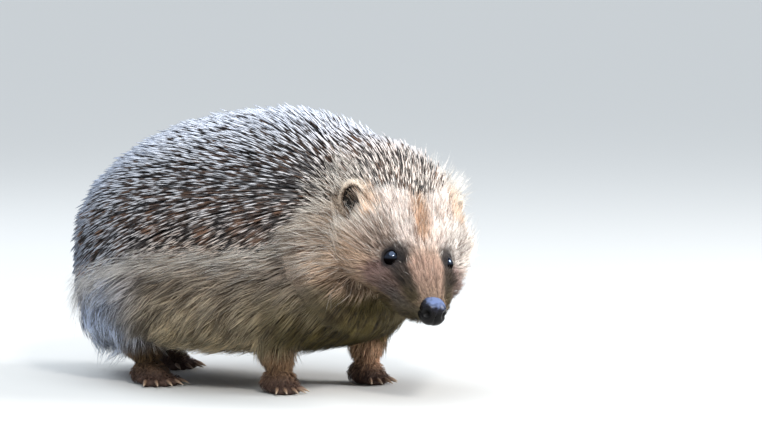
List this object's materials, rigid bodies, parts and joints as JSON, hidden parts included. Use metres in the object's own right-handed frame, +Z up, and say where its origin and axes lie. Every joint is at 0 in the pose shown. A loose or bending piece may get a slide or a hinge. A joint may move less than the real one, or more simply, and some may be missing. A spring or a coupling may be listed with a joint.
{
  "type": "hedgehog",
  "caption": "Life-size European hedgehog standing in mid stride, head lowered and turned to its right, with spiny back, furry flanks, pointed muzzle and round ears.",
  "frame": {"origin": "middle of the animal's bounding box, on the floor that its soles stand on", "axes": "+X the way the trunk faces, +Y the animal's left, +Z up"},
  "size_m": [0.2159, 0.12, 0.1275],
  "materials": {
    "spines": "dense pale-tipped, dark-banded keratin spines, satin",
    "flank_fur": "long coarse grey-brown fur",
    "neck_fur": "spines above, long tan fur below",
    "face_fur": "short cream and tan fur with a darker patch around each eye",
    "muzzle_fur": "very short dark brown fur",
    "chin_fur": "short grey-brown fur",
    "nose_leather": "moist, black, glossy",
    "eye": "black, wet gloss",
    "ear_skin": "thin skin with fine brown fur, darker inside",
    "leg_fur": "short reddish brown fur",
    "paw_skin": "dark skin with thin short fur and horn claws",
    "tail_fur": "short grey-brown fur"
  },
  "bodies": {
    "root": {"back": "spines", "belly": "flank_fur", "neck": "neck_fur", "head": "face_fur", "muzzle": "muzzle_fur", "jaw": "chin_fur", "nose": "nose_leather", "eye_right": "eye", "eye_left": "eye", "ear_right": "ear_skin", "ear_left": "ear_skin", "tail": "tail_fur", "leg_front_right": "leg_fur", "paw_front_right": "paw_skin", "leg_front_left": "leg_fur", "paw_front_left": "paw_skin", "leg_hind_right": "leg_fur", "paw_hind_right": "paw_skin", "leg_hind_left": "leg_fur", "paw_hind_left": "paw_skin"}
  },
  "joints": []
}
